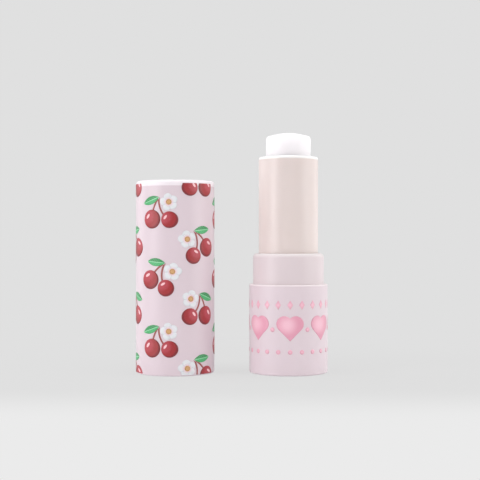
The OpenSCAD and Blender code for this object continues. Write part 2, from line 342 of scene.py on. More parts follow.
@dataclass(frozen=True)
class Rubber(Finish):
    """Moulded silicone rubber of the drag ring: dark, matt, dusted with talc."""

    talc: str = "#5A5A5C"
    talc_grain: float = 0.4
    talc_cover: float = 0.5
    talc_depth: float = 0.004

    def paint(self, tree: bpy.types.NodeTree) -> bpy.types.NodeSocket:
        """Mixes the rubber with the talc that clings to it."""
        share = calc(tree, "MULTIPLY", noise(tree, self.talc_grain, 4.0), self.talc_cover)
        return blended(tree, share, self.colour, self.talc)

    def relief(self, tree: bpy.types.NodeTree) -> bpy.types.NodeSocket:
        """Gives the grain of the talc."""
        return bumped(tree, noise(tree, self.talc_grain, 4.0), self.talc_depth)


@dataclass(frozen=True)
class Ink(Finish):
    """Screen-printed ink: flat, slightly glossier than the plastic, with a faint mottle from the mesh.

    The mesh leaves dots of about 0.1 mm, which are drawn 0.25 mm wide so that they show at all.
    """

    mesh_grain: float = 0.25
    mesh_depth: float = 0.002
    mottle: float = 0.04

    def shape(self, tree: bpy.types.NodeTree) -> bpy.types.NodeSocket:
        """Gives the place inside the printed shape, as the flat artwork had it."""
        return add(tree, "ShaderNodeAttribute", attribute_name=SHADE).outputs["Vector"]

    def spot(self, tree: bpy.types.NodeTree, at: tuple[float, float], size: float, soft: float,
             flat: float = 1.0, turn: float = 0.0) -> bpy.types.NodeSocket:
        """Makes a round or oval field in the printed shape's own units.

        Args:
            tree: the material's node tree.
            at: the field's middle.
            size: its half length.
            soft: the width of its edge.
            flat: its height, as a share of its length.
            turn: its turn in degrees.

        Returns:
            1 inside the field and 0 outside it.
        """
        place = add(tree, "ShaderNodeMapping", {
            "Vector": self.shape(tree), "Location": (at[0], at[1], 0),
            "Rotation": (0, 0, math.radians(turn)), "Scale": (1, flat, 1)}, vector_type="TEXTURE").outputs[0]
        away = add(tree, "ShaderNodeVectorMath", {0: place}, operation="LENGTH").outputs["Value"]
        return ramp(tree, away, size - soft / 2, size + soft / 2, 1.0, 0.0)

    def art(self, tree: bpy.types.NodeTree) -> bpy.types.NodeSocket | str:
        """Gives the flat artwork's colour, before the mottle."""
        return self.colour

    def paint(self, tree: bpy.types.NodeTree) -> bpy.types.NodeSocket:
        """Mottles the artwork's colour."""
        share = calc(tree, "MULTIPLY", noise(tree, self.mesh_grain, 2.0), self.mottle)
        return blended(tree, share, self.art(tree), "#FFFFFF")

    def relief(self, tree: bpy.types.NodeTree) -> bpy.types.NodeSocket:
        """Gives the marks of the printing mesh."""
        return bumped(tree, noise(tree, self.mesh_grain, 2.0), self.mesh_depth)


@dataclass(frozen=True)
class CherryInk(Ink):
    """Crimson fruit with a deep far side, a muted near side and one pale glint."""

    deep: str = "#7C0813"
    muted: str = "#B03542"
    glint: str = "#F3C4CA"
    near_at: tuple[float, float] = (-0.5, 0.42)
    near_size: float = 0.75
    body_at: tuple[float, float] = (-0.16, 0.14)
    body_size: float = 0.92
    glint_at: tuple[float, float] = (-0.42, 0.4)
    glint_size: float = 0.3
    glint_flat: float = 0.45
    glint_turn: float = 42.0

    def art(self, tree: bpy.types.NodeTree) -> bpy.types.NodeSocket:
        """Layers the four flat colours of the fruit."""
        side = self.spot(tree, self.near_at, self.near_size, soft=0.5)
        near = blended(tree, side, self.colour, self.muted)
        body = self.spot(tree, self.body_at, self.body_size, soft=0.06)
        shaded = blended(tree, body, self.deep, near)
        shine = self.spot(tree, self.glint_at, self.glint_size, 0.08, self.glint_flat, self.glint_turn)
        return blended(tree, shine, shaded, self.glint)


@dataclass(frozen=True)
class LeafInk(Ink):
    """Green leaf with one half in the light and a pale midrib with side veins."""

    shade: str = "#1F8A48"
    vein: str = "#8FD3A4"
    fold: tuple[float, float] = (0.02, -0.04)
    midrib_w: float = 0.018
    side_veins: float = 7.0
    slant: float = 1.1
    vein_w: float = 0.07
    vein_strength: float = 0.45

    def art(self, tree: bpy.types.NodeTree) -> bpy.types.NodeSocket:
        """Layers the leaf's two halves and its veins."""
        split = add(tree, "ShaderNodeSeparateXYZ", {0: self.shape(tree)})
        along, across = split.outputs[0], split.outputs[1]
        lower = ramp(tree, across, *self.fold, kind="LINEAR")
        halves = blended(tree, lower, self.colour, self.shade)
        side = calc(tree, "ABSOLUTE", across)
        midrib = calc(tree, "LESS_THAN", side, self.midrib_w)
        slanted = calc(tree, "SUBTRACT", along, calc(tree, "MULTIPLY", side, self.slant))
        between = calc(tree, "FRACT", calc(tree, "MULTIPLY", slanted, self.side_veins))
        stripe = calc(tree, "ABSOLUTE", calc(tree, "SUBTRACT", between, 0.5))
        veins = calc(tree, "MULTIPLY", calc(tree, "LESS_THAN", stripe, self.vein_w), self.vein_strength)
        return blended(tree, calc(tree, "MAXIMUM", midrib, veins), halves, self.vein)


@dataclass(frozen=True)
class PetalInk(Ink):
    """White petals that turn faintly pink towards the blossom's heart, parted by fine grey lines."""

    blush: str = "#E9BFC9"
    parting: str = "#C9CED6"
    petals: int = 5
    blush_size: float = 0.42
    fade: tuple[float, float] = (0.44, 0.49)

    def art(self, tree: bpy.types.NodeTree) -> bpy.types.NodeSocket:
        """Layers the blush and the partings between petals."""
        split = add(tree, "ShaderNodeSeparateXYZ", {0: self.shape(tree)})
        turn = calc(tree, "ARCTAN2", split.outputs[0], split.outputs[1])
        counted = calc(tree, "MULTIPLY_ADD", turn, self.petals / math.tau, self.petals + 0.5)
        beside = calc(tree, "ABSOLUTE", calc(tree, "SUBTRACT", calc(tree, "FRACT", counted), 0.5))
        middle = blended(tree, self.spot(tree, (0, 0), self.blush_size, 0.45), self.colour, self.blush)
        edge = ramp(tree, beside, *self.fade, kind="LINEAR")
        return blended(tree, edge, middle, self.parting)


@dataclass(frozen=True)
class PistilInk(Ink):
    """Tan heart of the blossom, with a ring of darker dots for its stamens."""

    dots: str = "#9C6B3C"
    count: int = 8
    ring: float = 0.72
    dot: float = 0.15

    def art(self, tree: bpy.types.NodeTree) -> bpy.types.NodeSocket:
        """Puts the ring of dots on the tan."""
        split = add(tree, "ShaderNodeSeparateXYZ", {0: self.shape(tree)})
        turn = calc(tree, "ARCTAN2", split.outputs[1], split.outputs[0])
        share = calc(tree, "FRACT", calc(tree, "MULTIPLY_ADD", turn, self.count / math.tau, self.count))
        width = math.tau / self.count * self.ring
        beside = calc(tree, "MULTIPLY", calc(tree, "SUBTRACT", share, 0.5), width)
        away = add(tree, "ShaderNodeVectorMath", {0: self.shape(tree)}, operation="LENGTH").outputs["Value"]
        out = calc(tree, "SUBTRACT", away, self.ring)
        squares = calc(tree, "ADD", calc(tree, "POWER", beside, 2.0), calc(tree, "POWER", out, 2.0))
        reach = calc(tree, "SQRT", squares)
        return blended(tree, calc(tree, "LESS_THAN", reach, self.dot), self.colour, self.dots)


@dataclass(frozen=True)
class FoilInk(Ink):
    """Rose pearlescent ink with a painted highlight: each shape is paler where a spot of sheen is painted on
    its upper part, and stays deeper along its lower edge.
    """

    # The pale colour and the spot that follows are a painted highlight, the same in every shape.
    pearl_painted_sheen: str = "#F6CBD9"
    painted_sheen_at: tuple[float, float] = (-0.2, 0.35)
    painted_sheen_size: float = 0.5

    def art(self, tree: bpy.types.NodeTree) -> bpy.types.NodeSocket:
        """Fades the rose into its painted highlight spot."""
        return blended(tree, self.spot(tree, self.painted_sheen_at, self.painted_sheen_size, 0.8), self.colour, self.pearl_painted_sheen)

    def constants(self) -> dict[str, Any]:
        """Gives the rose ink a thin glossy coat."""
        return {"Coat Weight": 0.25, "Coat Roughness": 0.25}


class Dress(Enum):
    """The finishes of this object, each for the piece or the ink that it is named for."""

    # Each rim= is a painted highlight: a pale band painted below the piece's upper edge.
    CASE = MouldedPlastic("pink satin ABS", "#D9CBD1", 0.4, cloud="#DDD0D6", rim=PaintedRimHighlight(23.6, "#EADFE2"))
    CAP = MouldedPlastic("pink satin ABS of the cap", "#D7C8CF", 0.4, cloud="#DBCDD4",
                         rim=PaintedRimHighlight(50.15, "#EFE8ED"))
    COLLAR = MouldedPlastic("pale pink satin ABS", "#D7CBCE", 0.4, cloud="#DBCFD2",
                            rim=PaintedRimHighlight(31.6, "#E2DADB", 0.9))
    TUBE = MilkyPlastic("ivory polypropylene", "#E5D4CF", 0.36, cloud="#E8D9D5", rim=PaintedRimHighlight(57.5, "#FBF6F4"))
    SLEEVE = MilkyPlastic("natural polypropylene", "#F3F0E8", 0.38, cloud="#F7F5EF")
    RING = Rubber("talced silicone rubber", "#333336", 0.7)
    BALM = CastWax("cast white balm", "#E4E1E4", 0.45, bloom="#E7E5E8")
    CHERRY = CherryInk("crimson ink", "#9C0A15", 0.42)
    LEAF = LeafInk("green ink", "#35A862", 0.38)
    STEM = Ink("russet ink", "#9A4A44", 0.38)
    PETAL = PetalInk("white ink", "#DFE2E6", 0.38)
    PISTIL = PistilInk("tan ink", "#CDA06A", 0.38)
    # The rose inks below get a painted highlight spot in each printed shape.
    HEART = FoilInk("rose pearl ink", "#DE98AE", 0.34, pearl_painted_sheen="#F0BFCE")
    TRIM = FoilInk("pale rose pearl ink", "#E6A9BC", 0.34, pearl_painted_sheen="#EFBDCC", painted_sheen_at=(0, 0), painted_sheen_size=0.3)


class Wardrobe:
    """Makes each finish once, when the first piece asks for it."""

    def __init__(self) -> None:
        """Starts with no material made."""
        self.made: dict[Dress, bpy.types.Material] = {}

    def get(self, dress: Dress) -> bpy.types.Material:
        """Gives the material of a finish.

        Args:
            dress: the finish.

        Returns:
            Its material.
        """
        if dress not in self.made:
            self.made[dress] = dress.value.build()
        return self.made[dress]

    def dress_node(self, node: str, dress: Dress) -> None:
        """Puts a finish on every slot of a carried-over solid.

        Args:
            node: the solid's name.
            dress: its finish.
        """
        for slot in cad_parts[node].material_slots:
            slot.material = self.get(dress)
        log.info("%s: %s", node, dress.value.name)


def arc(centre: Vector, radius: float, start: float, end: float, steps: int) -> list[Vector]:
    """Gives points along an arc.

    Args:
        centre: the arc's centre.
        radius: its radius.
        start: the angle of its first point in degrees.
        end: the angle of its last point.
        steps: how many chords it has.

    Returns:
        The points, both ends included.
    """
    angles = [math.radians(start + (end - start) * i / steps) for i in range(steps + 1)]
    return [centre + radius * Vector((math.cos(a), math.sin(a))) for a in angles]


@dataclass(frozen=True)
class Patch:
    """One field of colour in flat artwork, with the small frame that its shading follows."""

    ink: Dress
    outline: list[Vector]
    centre: Vector
    size: float
    turn: float = 0.0

    def local(self, point: Vector) -> tuple[float, float, float]:
        """Gives a point's place in the patch's own frame, where its half width is about 1."""
        place = Matrix.Rotation(math.radians(-self.turn), 2) @ (point - self.centre) / self.size
        return (place[0], place[1], 0.0)


def disc(ink: Dress, centre: Vector, diameter: float, steps: int = 48) -> Patch:
    """Makes a round patch.

    Args:
        ink: its ink.
        centre: its middle.
        diameter: its diameter.
        steps: how many sides it has.

    Returns:
        The patch.
    """
    return Patch(ink, arc(centre, diameter / 2, 0, 360, steps)[:-1], centre, diameter / 2)


def leaf(ink: Dress, foot: Vector, turn: float, length: float, width: float) -> Patch:
    """Makes a leaf: the overlap of two circles.

    Args:
        ink: its ink.
        foot: where it leaves the twig.
        turn: the direction that it points in, in degrees.
        length: its length.
        width: its width.

    Returns:
        The patch.
    """
    radius = (length * length + width * width) / (4 * width)
    half = math.degrees(math.asin(length / 2 / radius))
    drop = radius - width / 2
    upper = arc(Vector((length / 2, -drop)), radius, 90 + half, 90 - half, 20)
    lower = arc(Vector((length / 2, drop)), radius, -90 + half, -90 - half, 20)
    spin = Matrix.Rotation(math.radians(turn), 2)
    outline = [foot + spin @ p for p in (upper + lower[1:-1])[::-1]]
    return Patch(ink, outline, foot, length, turn)


def stem(ink: Dress, start: Vector, end: Vector, sag: float, width: float) -> Patch:
    """Makes a stem: a band along an arc that bows to the left.

    Args:
        ink: its ink.
        start: its lower end.
        end: its upper end.
        sag: how far it bows.
        width: its width.

    Returns:
        The patch.
    """
    half = (end - start).length / 2
    radius = (half * half + sag * sag) / (2 * sag)
    left = Vector((start[1] - end[1], end[0] - start[0])) / (2 * half)
    hub = (start + end) / 2 - left * (radius - sag)
    spoke = start - hub
    first = math.degrees(math.atan2(spoke[1], spoke[0]))
    sweep = -2 * math.degrees(math.asin(half / radius))
    outer = arc(hub, radius + width / 2, first, first + sweep, 14)
    inner = arc(hub, radius - width / 2, first + sweep, first, 14)
    return Patch(ink, outer + inner, start, 2 * half)


def heart(ink: Dress, width: float) -> Patch:
    """Makes a heart: a square on its corner with half a circle on each upper side.

    Args:
        ink: its ink.
        width: its width.

    Returns:
        The patch.
    """
    side = width / (1 + math.sqrt(0.5))
    tip = side * math.sqrt(0.5)
    right = arc(Vector((tip / 2, tip / 2)), side / 2, -45, 135, 28)
    left = arc(Vector((-tip / 2, tip / 2)), side / 2, 45, 225, 28)
    return Patch(ink, [Vector((0, -tip)), *right, *left[1:]], Vector((0, 0)), width / 2)


def lozenge(ink: Dress, width: float, height: float) -> Patch:
    """Makes an upright lozenge of that width and height."""
    corners = [(width / 2, 0), (0, height / 2), (-width / 2, 0), (0, -height / 2)]
    return Patch(ink, [Vector(c) for c in corners], Vector((0, 0)), height / 2)


@dataclass
class Artwork:
    """Flat artwork in millimetres. Where two patches meet, the later one covers the earlier one."""

    patches: list[Patch]
    fill: float = 0.34
    clear: float = 0.45
    merged: float = 1e-4

    def lattice(self) -> list[Vector]:
        """Gives points spread evenly over the artwork, so that it can bend with the wall."""
        points = [p for patch in self.patches for p in patch.outline]
        low = [min(p[i] for p in points) for i in (0, 1)]
        high = [max(p[i] for p in points) for i in (0, 1)]
        rise = self.fill * math.sqrt(0.75)
        spots = []
        for row in range(math.ceil((high[1] - low[1]) / rise)):
            for column in range(math.ceil((high[0] - low[0]) / self.fill) + 1):
                spot = Vector((low[0] + self.fill * (column + row % 2 / 2), low[1] + rise * (row + 0.5)))
                if min((spot - p).length for p in points) > self.clear * self.fill:
                    spots.append(spot)
        return spots

    def flat_piece(self, ink: Dress) -> bpy.types.Object:
        """Makes the flat mesh of all that is printed in one ink, in metres.

        Args:
            ink: the ink.

        Returns:
            An object in no collection. The attribute named by SHADE holds each point's place in its patch.
        """
        points: list[Vector] = []
        rings = []
        for patch in self.patches:
            rings.append(list(range(len(points), len(points) + len(patch.outline))))
            points.extend(patch.outline)
        places, _, faces, _, _, origins = delaunay_2d_cdt(
            points + self.lattice(), [], rings, 1, self.merged)
        vertices: list[tuple[float, float, float]] = []
        shades: list[tuple[float, float, float]] = []
        numbers: dict[tuple[int, int], int] = {}
        triangles = []
        for face, origin in zip(faces, origins):
            top = max(origin, default=None)
            if top is None or self.patches[top].ink != ink:
                continue
            corners = []
            for corner in face:
                key = (corner, top)
                if key not in numbers:
                    numbers[key] = len(vertices)
                    vertices.append((places[corner][0] * MM, places[corner][1] * MM, 0.0))
                    shades.append(self.patches[top].local(places[corner]))
                corners.append(numbers[key])
            triangles.append(corners)
        mesh = bpy.data.meshes.new("flat " + ink.value.name)
        mesh.from_pydata(vertices, [], triangles)
        shade = mesh.attributes.new(SHADE, "FLOAT_VECTOR", "POINT")
        shade.data.foreach_set("vector", [x for place in shades for x in place])
        mesh.polygons.foreach_set("use_smooth", [True] * len(mesh.polygons))
        return bpy.data.objects.new(mesh.name, mesh)


@dataclass(frozen=True)
class Repeat:
    """How artwork repeats round a wall: columns side by side, and rows one above the other."""

    columns: int
    first_turn: float
    height: float
    rows: int = 1
    first_row: int = 0
    step: float = 0.0
    stagger: float = 0.0
    tilt: float = 0.0
    mirrored: bool = False


class PrintingTree:
    """The Geometry Nodes tree that repeats flat artwork round a wall as a thin closed skin."""

    MERGE = 1e-7
    SOCKETS = {
        "Artwork": "NodeSocketGeometry", "Wall Radius": "NodeSocketFloat", "Axis X": "NodeSocketFloat",
        "Ink Thickness": "NodeSocketFloat", "Columns": "NodeSocketInt", "Rows": "NodeSocketInt",
        "First Row": "NodeSocketInt", "First Turn": "NodeSocketFloat", "Height": "NodeSocketFloat",
        "Step": "NodeSocketFloat", "Stagger": "NodeSocketFloat", "Tilt": "NodeSocketFloat",
        "Mirrored": "NodeSocketFloat", "Ink": "NodeSocketMaterial",
    }

    def __init__(self) -> None:
        """Builds the tree with its named inputs."""
        self.tree = bpy.data.node_groups.new("print on a round wall", "GeometryNodeTree")
        for name, kind in self.SOCKETS.items():
            self.tree.interface.new_socket(name=name, in_out="INPUT", socket_type=kind)
        self.tree.interface.new_socket(name="Print", in_out="OUTPUT", socket_type="NodeSocketGeometry")
        given = add(self.tree, "NodeGroupInput").outputs
        placed = self.place(given)
        add(self.tree, "NodeGroupOutput", {0: self.skin(self.wrap(placed, given), given)})

    def place(self, given: Any) -> bpy.types.NodeSocket:
        """Lays the artwork out flat, once for each place, and notes the turn and height of each copy.

        Args:
            given: the tree's inputs.

        Returns:
            The flat copies, as real geometry.
        """
        tree = self.tree
        count = calc(tree, "MULTIPLY", given["Columns"], given["Rows"])
        index = add(tree, "GeometryNodeInputIndex").outputs[0]
        column = calc(tree, "FLOORED_MODULO", index, given["Columns"])
        passed = calc(tree, "FLOOR", calc(tree, "DIVIDE", index, given["Columns"]))
        row = calc(tree, "ADD", passed, given["First Row"])
        odd = calc(tree, "FLOORED_MODULO", column, 2.0)
        turn = calc(tree, "ADD", given["First Turn"],
                    calc(tree, "MULTIPLY", column, calc(tree, "DIVIDE", math.tau, given["Columns"])))
        steps = calc(tree, "MULTIPLY_ADD", odd, given["Stagger"], row)
        height = calc(tree, "MULTIPLY_ADD", steps, given["Step"], given["Height"])
        flip = calc(tree, "MULTIPLY", odd, given["Mirrored"])
        side = calc(tree, "MULTIPLY_ADD", flip, -2.0, 1.0)
        sway = calc(tree, "MULTIPLY_ADD", calc(tree, "FLOORED_MODULO", row, 2.0), -2.0, 1.0)
        tilt = calc(tree, "MULTIPLY", calc(tree, "MULTIPLY", given["Tilt"], sway), side)
        geometry = add(tree, "GeometryNodePoints", {"Count": count}).outputs[0]
        for name, value in {"turn": turn, "height": height, "flip": flip}.items():
            geometry = add(tree, "GeometryNodeStoreNamedAttribute",
                           {"Geometry": geometry, "Name": name, "Value": value}).outputs[0]
        rotation = add(tree, "ShaderNodeCombineXYZ", {"Z": tilt}).outputs[0]
        scale = add(tree, "ShaderNodeCombineXYZ", {"X": side, "Y": 1.0, "Z": 1.0}).outputs[0]
        copies = add(tree, "GeometryNodeInstanceOnPoints", {
            "Points": geometry, "Instance": given["Artwork"],
            "Rotation": rotation, "Scale": scale}).outputs[0]
        return add(tree, "GeometryNodeRealizeInstances", {"Geometry": copies}).outputs[0]

    def named(self, name: str) -> bpy.types.NodeSocket:
        """Reads a number that was noted for each copy."""
        node = add(self.tree, "GeometryNodeInputNamedAttribute", {"Name": name}, data_type="FLOAT")
        return node.outputs[0]

    def wrap(self, flat: bpy.types.NodeSocket, given: Any) -> bpy.types.NodeSocket:
        """Moves each flat copy straight onto the wall, along the line from the axis through its middle.

        Args:
            flat: the flat copies.
            given: the tree's inputs.

        Returns:
            The copies on the wall, facing outwards.
        """
        tree = self.tree
        position = add(tree, "GeometryNodeInputPosition").outputs[0]
        place = add(tree, "ShaderNodeSeparateXYZ", {0: position}).outputs
        share = calc(tree, "DIVIDE", place[0], given["Wall Radius"])
        turn = calc(tree, "ADD", self.named("turn"), calc(tree, "ARCSINE", share))
        across = calc(tree, "MULTIPLY_ADD", calc(tree, "COSINE", turn), given["Wall Radius"],
                      given["Axis X"])
        depth = calc(tree, "MULTIPLY", calc(tree, "SINE", turn), given["Wall Radius"])
        up = calc(tree, "ADD", self.named("height"), place[1])
        goal = add(tree, "ShaderNodeCombineXYZ", {0: across, 1: depth, 2: up}).outputs[0]
        moved = add(tree, "GeometryNodeSetPosition", {"Geometry": flat, "Position": goal}).outputs[0]
        mirrored = calc(tree, "GREATER_THAN", self.named("flip"), 0.5)
        return add(tree, "GeometryNodeFlipFaces", {"Mesh": moved, "Selection": mirrored}).outputs[0]

    def skin(self, sheet: bpy.types.NodeSocket, given: Any) -> bpy.types.NodeSocket:
        """Gives the sheet its thickness of ink and closes it below.

        Args:
            sheet: the copies on the wall.
            given: the tree's inputs.

        Returns:
            Closed skins with their material.
        """
        tree = self.tree
        raised = add(tree, "GeometryNodeExtrudeMesh", {
            "Mesh": sheet, "Offset Scale": given["Ink Thickness"], "Individual": False})
        axis = add(tree, "ShaderNodeCombineXYZ", {"X": given["Axis X"]}).outputs[0]
        place = add(tree, "GeometryNodeInputPosition").outputs[0]
        away = add(tree, "ShaderNodeVectorMath", {0: place, 1: axis}, operation="SUBTRACT").outputs[0]
        flat = add(tree, "ShaderNodeVectorMath", {0: away, 1: (1, 1, 0)}, operation="MULTIPLY").outputs[0]
        radial = add(tree, "ShaderNodeVectorMath", {0: flat}, operation="NORMALIZE").outputs[0]
        reach = add(tree, "ShaderNodeVectorMath", {
            0: radial, "Scale": calc(tree, "ADD", given["Wall Radius"], given["Ink Thickness"])},
            operation="SCALE").outputs[0]
        up = add(tree, "ShaderNodeVectorMath", {0: away, 1: (0, 0, 1)}, operation="MULTIPLY").outputs[0]
        level = add(tree, "ShaderNodeVectorMath", {0: reach, 1: up}, operation="ADD").outputs[0]
        goal = add(tree, "ShaderNodeVectorMath", {0: level, 1: axis}, operation="ADD").outputs[0]
        top = add(tree, "GeometryNodeSetPosition", {
            "Geometry": raised.outputs["Mesh"], "Selection": raised.outputs["Top"],
            "Position": goal}).outputs[0]
        edged = add(tree, "GeometryNodeSetShadeSmooth", {
            "Geometry": top, "Selection": raised.outputs["Side"], "Shade Smooth": False}).outputs[0]
        under = add(tree, "GeometryNodeFlipFaces", {"Mesh": sheet}).outputs[0]
        both = add(tree, "GeometryNodeJoinGeometry")
        for part in (edged, under):
            tree.links.new(part, both.inputs[0])
        closed = add(tree, "GeometryNodeMergeByDistance", {
            "Geometry": both.outputs[0], "Distance": self.MERGE}).outputs[0]
        real = add(tree, "GeometryNodeRealizeInstances", {"Geometry": closed}).outputs[0]
        return add(tree, "GeometryNodeSetMaterial", {"Geometry": real, "Material": given["Ink"]}).outputs[0]

    def run(self, artwork: bpy.types.Object, values: dict[str, Any]) -> bpy.types.Mesh:
        """Runs the tree on one piece of artwork.

        Args:
            artwork: the object with the flat mesh.
            values: the value of each named input, other than the artwork.

        Returns:
            The finished print, as a plain mesh.
        """
        bpy.context.scene.collection.objects.link(artwork)
        modifier = artwork.modifiers.new("print", "NODES")
        modifier.node_group = self.tree
        for item in self.tree.interface.items_tree:
            if item.in_out == "INPUT" and item.name in values:
                modifier[item.identifier] = values[item.name]
        graph = bpy.context.evaluated_depsgraph_get()
        mesh = bpy.data.meshes.new_from_object(artwork.evaluated_get(graph), preserve_all_data_layers=True,
                                               depsgraph=graph)
        artwork.modifiers.remove(modifier)
        bpy.data.objects.remove(artwork)
        return mesh


@dataclass
class RoundWall:
    """A round wall that takes print. The solid gives its axis and radius, the solid's ink its limits."""

    node: str
    body: str
    ink_node: str
    ink_thickness: float = 0.04
    slack: float = 1e-6
    snap: float = 1e-8
    tree: PrintingTree = field(default_factory=PrintingTree)
    axis_x: float = field(init=False)
    radius: float = field(init=False)
    lowest: float = field(init=False)
    highest: float = field(init=False)

    def __post_init__(self) -> None:
        """Reads the wall from the frame."""
        low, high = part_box(self.node)
        self.axis_x = (low[0] + high[0]) / 2
        self.radius = (high[0] - low[0]) / 2
        ink_low, ink_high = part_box(self.ink_node)
        self.lowest, self.highest = ink_low[2], ink_high[2]

    def crop(self, mesh: bpy.types.Mesh) -> None:
        """Cuts off the ink that would run past the print's lower and upper limits, and closes the cuts.

        Args:
            mesh: the print, which is changed.
        """
        shape = bmesh.new()
        shape.from_mesh(mesh)
        for height, side in ((self.lowest, -1), (self.highest, 1)):
            if all(side * (v.co[2] - height) < self.slack for v in shape.verts):
                continue
            everything = shape.verts[:] + shape.edges[:] + shape.faces[:]
            bmesh.ops.bisect_plane(shape, geom=everything, dist=self.snap, plane_co=(0, 0, height),
                                   plane_no=(0, 0, side), clear_outer=True)
            rims = [e for e in shape.edges if e.is_boundary]
            bmesh.ops.holes_fill(shape, edges=rims, sides=0)
        bmesh.ops.triangulate(shape, faces=[f for f in shape.faces if len(f.verts) > 4])
        shape.to_mesh(mesh)
        shape.free()

    def print_artwork(self, name: str, artwork: Artwork, ink: Dress, layouts: list[Repeat],
                      wardrobe: Wardrobe) -> bpy.types.Object:
        """Prints one ink of the artwork on the wall.

        Args:
            name: the new piece's name.
            artwork: the flat artwork.
            ink: the ink that is printed.
            layouts: each way in which the artwork repeats.
            wardrobe: where the ink's material comes from.

        Returns:
            The printed piece.
        """
        shape = bmesh.new()
        for layout in layouts:
            mesh = self.tree.run(artwork.flat_piece(ink), {
                "Wall Radius": self.radius, "Axis X": self.axis_x, "Ink Thickness": self.ink_thickness * MM,
                "Columns": layout.columns, "Rows": layout.rows, "First Row": layout.first_row,
                "First Turn": math.radians(layout.first_turn), "Height": layout.height * MM,
                "Step": layout.step * MM, "Stagger": layout.stagger, "Tilt": math.radians(layout.tilt),
                "Mirrored": float(layout.mirrored), "Ink": wardrobe.get(ink)})
            self.crop(mesh)
            shape.from_mesh(mesh)
            materials = list(mesh.materials)
            bpy.data.meshes.remove(mesh)
        whole = bpy.data.meshes.new(name)
        shape.to_mesh(whole)
        shape.free()
        for material in materials:
            whole.materials.append(material)
        piece = bpy.data.objects.new(name, whole)
        bpy.context.scene.collection.objects.link(piece)
        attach(piece, self.body)
        log.info("%s: %d triangles in %s", name, len(whole.polygons), ink.value.name)
        return piece


@dataclass
class CapPrint:
    """The cap's print: a pair of cherries with a leaf and a blossom, in columns half a step apart."""

    INKS = (
        (Dress.CHERRY, "cherries", "print_red"), (Dress.LEAF, "greens", "print_green"),
        (Dress.STEM, "greens", "print_green"), (Dress.PETAL, "petals", "print_white"),
        (Dress.PISTIL, "pistils", "print_tan"),
    )

    cherry_d: float = 5.0
    cherry_small_d: float = 4.4
    stem_w: float = 0.45
    stem_sag: float = 0.5
    stem_small_sag: float = 1.0
    leaf_len: float = 5.2
    leaf_w: float = 2.1
    petal_d: float = 2.1
    petals: int = 5
    petal_out: float = 0.6
    petal_shade: float = 1.1
    pistil_d: float = 1.5
    twig: Vector = field(default_factory=lambda: Vector((0.8, 4.0)))
    cherry_at: Vector = field(default_factory=lambda: Vector((-2.5, -1.2)))
    cherry_small_at: Vector = field(default_factory=lambda: Vector((2.3, -2.4)))
    blossom_at: Vector = field(default_factory=lambda: Vector((3.1, 2.2)))
    leaf_turn: float = 187.0
    layout: Repeat = Repeat(columns=6, first_turn=-110, height=9, rows=5, first_row=-1, step=17,
                            stagger=0.5, tilt=12, mirrored=True)

    def artwork(self) -> Artwork:
        """Draws the motif, from its lowest layer to its highest."""
        stems = [stem(Dress.STEM, self.cherry_at, self.twig, self.stem_sag, self.stem_w),
                 stem(Dress.STEM, self.cherry_small_at, self.twig, self.stem_small_sag, self.stem_w)]
        fruit = [disc(Dress.CHERRY, self.cherry_at, self.cherry_d),
                 disc(Dress.CHERRY, self.cherry_small_at, self.cherry_small_d)]
        blossom = []
        for i in range(self.petals):
            turn = math.radians(90 + 360 * i / self.petals)
            outwards = Vector((math.cos(turn), math.sin(turn)))
            middle = self.blossom_at + self.petal_out * self.petal_d * outwards
            outline = disc(Dress.PETAL, middle, self.petal_d, 28).outline
            blossom.append(Patch(Dress.PETAL, outline, self.blossom_at, self.petal_shade * self.petal_d))
        green = leaf(Dress.LEAF, self.twig, self.leaf_turn, self.leaf_len, self.leaf_w)
        pistil = disc(Dress.PISTIL, self.blossom_at, self.pistil_d, 28)
        return Artwork([*stems, green, *fruit, *blossom, pistil])

    def build(self, wall: RoundWall, wardrobe: Wardrobe) -> None:
        """Prints every ink of the motif, each in place of the solid ink that it refines.

        Args:
            wall: the cap's wall.
            wardrobe: where the inks come from.
        """
        art = self.artwork()
        for ink, node, slot in self.INKS:
            piece = wall.print_artwork(f"cap_ink_{ink.name.lower()}", art, ink, [self.layout], wardrobe)
            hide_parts("cap_print_" + node)


@dataclass
class BasePrint:
    """The ornament round the base: hearts, with lozenges above them, and beads between and below them."""

    heart_w: float = 7.2
    hearts: int = 7
    heart_z: float = 12.2
    lozenge_w: float = 1.5
    lozenge_h: float = 2.4
    bead_d: float = 1.2
    trims: int = 21
    trim_gap: float = 2.9
    front: float = -90.0

    def build(self, wall: RoundWall, wardrobe: Wardrobe) -> None:
        """Prints the hearts and the trims in place of the solid inks.

        Args:
            wall: the base's wall.
            wardrobe: where the inks come from.
        """
        side = self.heart_w / (1 + math.sqrt(0.5))
        above = self.heart_z + side * (0.5 + math.sqrt(0.125)) + self.trim_gap
        below = self.heart_z - side * math.sqrt(0.5) - self.trim_gap
        hearts = wall.print_artwork(
            "base_ink_hearts", Artwork([heart(Dress.HEART, self.heart_w)]), Dress.HEART,
            [Repeat(self.hearts, self.front, self.heart_z)], wardrobe)
        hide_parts("base_print_hearts")
        lozenges = wall.print_artwork(
            "base_ink_lozenges", Artwork([lozenge(Dress.TRIM, self.lozenge_w, self.lozenge_h)]), Dress.TRIM,
            [Repeat(self.trims, self.front, above)], wardrobe)
        beads = wall.print_artwork(
            "base_ink_beads", Artwork([disc(Dress.TRIM, Vector((0, 0)), self.bead_d, 28)]), Dress.TRIM,
            [Repeat(self.hearts, self.front + 180 / self.hearts, self.heart_z),
             Repeat(self.trims, self.front, below)], wardrobe)
        for piece in (lozenges, beads):
            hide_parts("base_print_trims")


